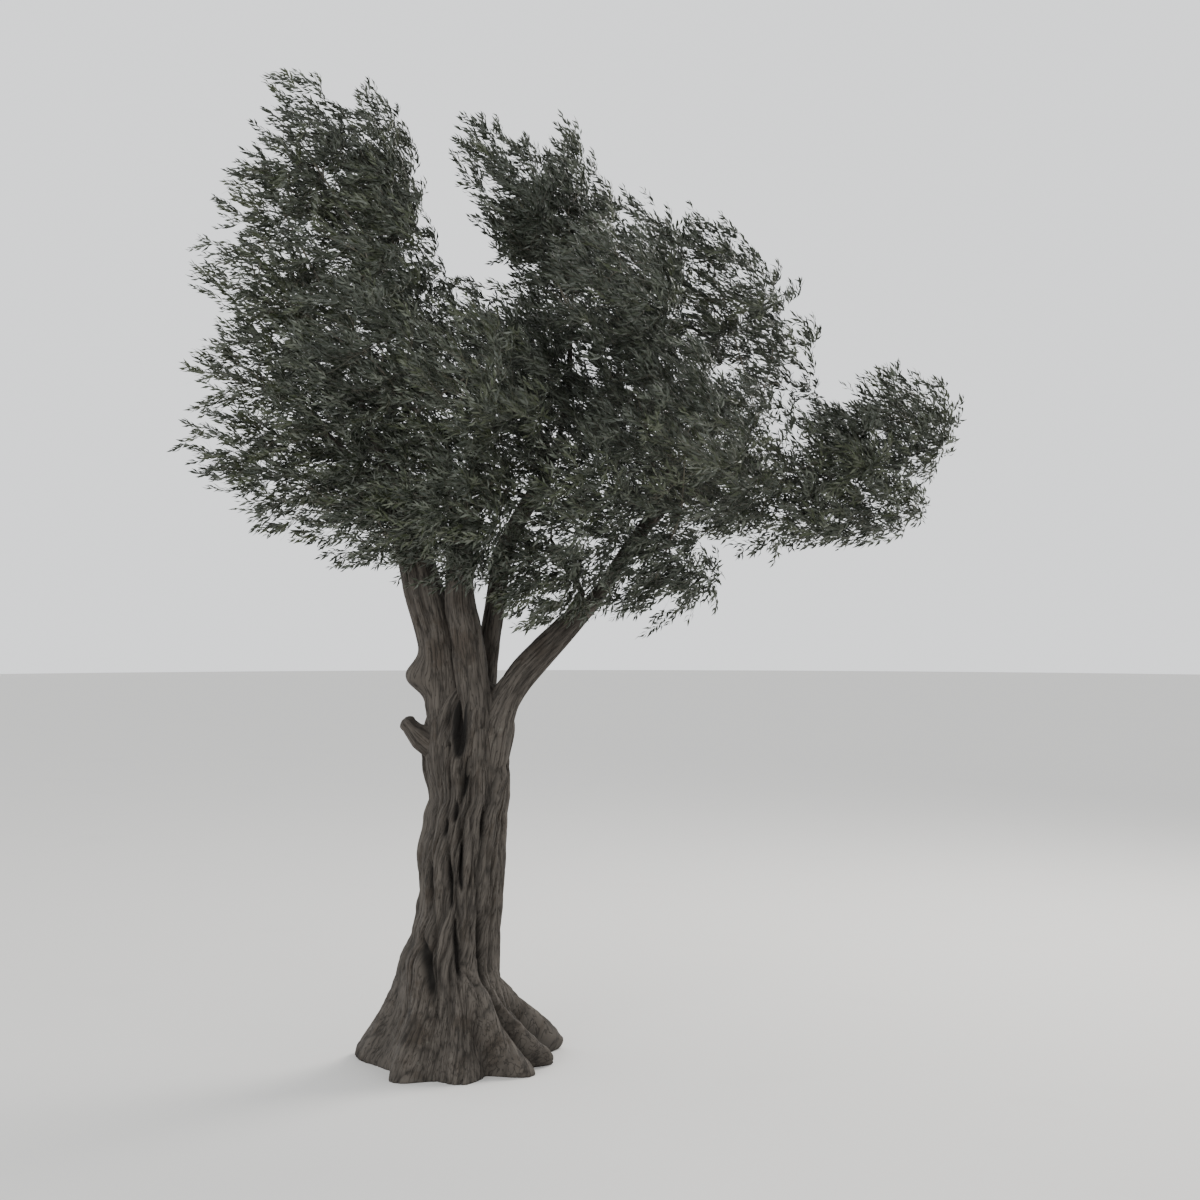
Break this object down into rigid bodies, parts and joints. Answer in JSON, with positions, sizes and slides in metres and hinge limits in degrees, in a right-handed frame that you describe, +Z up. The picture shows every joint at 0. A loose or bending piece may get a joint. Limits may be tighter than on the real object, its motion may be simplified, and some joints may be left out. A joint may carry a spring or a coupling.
{
  "type": "olive tree",
  "caption": "Whole olive tree with a twisted, root-flared trunk, forking stems and boughs, and masses of narrow leaves swept to one side by the wind.",
  "frame": {"origin": "centre of the flat cut under the trunk, at ground level", "axes": "+Z up the trunk; +X towards the wind, along the crown's long right arm; +Y away from the picture's viewer"},
  "size_m": [4.8806, 3.0259, 6.1969],
  "materials": {
    "bark": "rough, deeply fissured grey-brown bark",
    "foliage": "narrow leathery grey-green leaves, silvery underneath"
  },
  "bodies": {
    "root": {"trunk": "bark", "stem_left": "bark", "stem_middle": "bark", "stem_back": "bark", "bough_right": "bark", "bough_right_upper": "bark", "bough_fork": "bark", "bough_top_left": "bark", "bough_upper_left": "bark", "bough_left": "bark", "bough_low_left": "bark", "bough_rear_left": "bark", "bough_front_left": "bark", "bough_front": "bark", "bough_centre": "bark", "bough_tall": "bark", "bough_rear": "bark", "bough_inner": "bark", "bough_right_far": "bark", "bough_low_right": "bark", "bough_rear_right": "bark", "bough_shoulder": "bark", "bough_outer": "bark", "plume_top_left": "foliage", "plume_top_inner": "foliage", "plume_top_rear": "foliage", "plume_left_upper": "foliage", "plume_left": "foliage", "mass_upper_front": "foliage", "mass_left_tip": "foliage", "mass_left_low": "foliage", "mass_left_inner": "foliage", "mass_low_left": "foliage", "mass_low_inner": "foliage", "mass_rear_left": "foliage", "mass_rear_low_left": "foliage", "mass_front_left": "foliage", "mass_front_centre": "foliage", "mass_front_low": "foliage", "mass_front_low_right": "foliage", "mass_centre": "foliage", "plume_middle": "foliage", "plume_middle_right": "foliage", "plume_middle_rear": "foliage", "mass_rear_middle": "foliage", "mass_centre_low": "foliage", "mass_fork": "foliage", "plume_right_inner": "foliage", "mass_centre_right": "foliage", "mass_front_upper": "foliage", "plume_right_outer": "foliage", "mass_right_shoulder": "foliage", "mass_right_tip": "foliage", "mass_right_arm": "foliage", "mass_right_low": "foliage", "mass_right_inner": "foliage", "mass_right_droop": "foliage", "mass_front_right": "foliage", "mass_rear_right": "foliage", "mass_rear_low_right": "foliage"}
  },
  "joints": []
}
